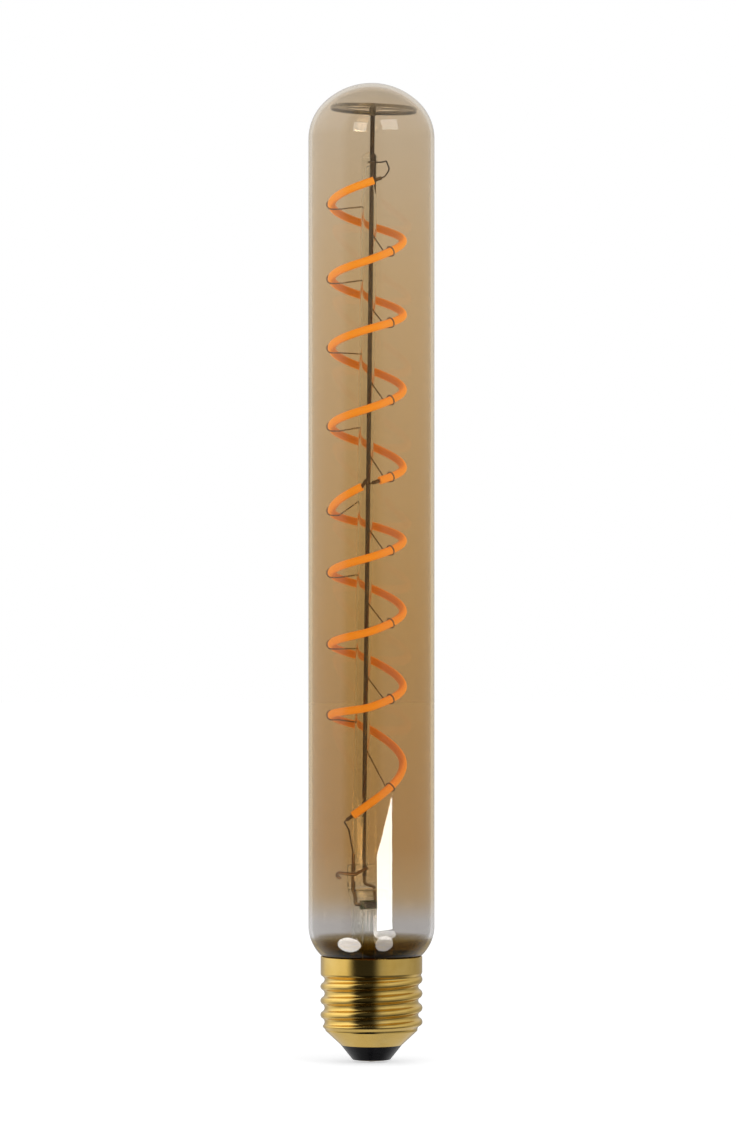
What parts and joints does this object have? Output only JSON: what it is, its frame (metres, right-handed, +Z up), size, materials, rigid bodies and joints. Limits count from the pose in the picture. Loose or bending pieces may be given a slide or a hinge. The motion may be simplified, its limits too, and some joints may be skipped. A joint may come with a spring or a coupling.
{
  "type": "tubular light bulb",
  "caption": "Long tubular amber glass lamp with a spiral filament wound round a glass column, on a brass screw cap.",
  "frame": {"origin": "lowest point of the centre contact, on the axis of the tube", "axes": "+Z up the tube from the cap to the dome; -Y faces the viewer, with the press turned 20 degrees from +X"},
  "size_m": [0.0322, 0.0322, 0.25],
  "materials": {
    "amber_glass": "transparent glass with an amber coat that fades out above the cap",
    "clear_glass": "clear lead glass",
    "cap_brass": "bright rolled brass",
    "black_vitrite": "glossy black glass",
    "contact_brass": "stamped brass",
    "solder": "dull solder",
    "cement": "matt cement",
    "filament_coating": "translucent orange phosphor silicone",
    "plated_steel": "thin nickel-plated sheet",
    "dark_wire": "oxidised nickel wire",
    "support_wire": "thin drawn wire",
    "board_laminate": "pale circuit board laminate",
    "black_moulding": "moulded component body",
    "capacitor_sleeve": "shrunk sleeve on an aluminium can",
    "resistor_body": "coated resistor body",
    "copper_wire": "drawn copper alloy wire"
  },
  "bodies": {
    "root": {"board_wire_left": "copper_wire", "board_wire_right": "copper_wire", "bottom_link": "support_wire", "bottom_tab": "support_wire", "bridge_rectifier": "black_moulding", "cap_cement": "cement", "cap_insulator": "black_vitrite", "cap_shell": "cap_brass", "centring_plate": "plated_steel", "chip_board": "board_laminate", "contact_plate": "contact_brass", "contact_solder": "solder", "contact_wire": "copper_wire", "driver_board": "board_laminate", "driver_chip": "black_moulding", "feed_lead": "copper_wire", "filament_lower": "filament_coating", "filament_upper": "filament_coating", "front_support_1": "support_wire", "front_support_2": "support_wire", "front_support_3": "support_wire", "front_support_4": "support_wire", "front_support_5": "support_wire", "front_support_6": "support_wire", "front_support_7": "support_wire", "front_support_8": "support_wire", "fuse_resistor": "resistor_body", "glass_column": "clear_glass", "glass_envelope": "amber_glass", "glass_stem": "clear_glass", "joint_link": "support_wire", "joint_support": "support_wire", "joint_tab_lower": "support_wire", "joint_tab_upper": "support_wire", "left_support_1": "support_wire", "left_support_2": "support_wire", "left_support_3": "support_wire", "left_support_4": "support_wire", "left_support_5": "support_wire", "left_support_6": "support_wire", "left_support_7": "support_wire", "left_support_8": "support_wire", "plate_crimp": "plated_steel", "press_stay": "support_wire", "return_lead": "copper_wire", "return_wire": "dark_wire", "shell_wire": "copper_wire", "smoothing_capacitor": "capacitor_sleeve", "top_link": "support_wire", "top_tab": "support_wire"}
  },
  "joints": []
}
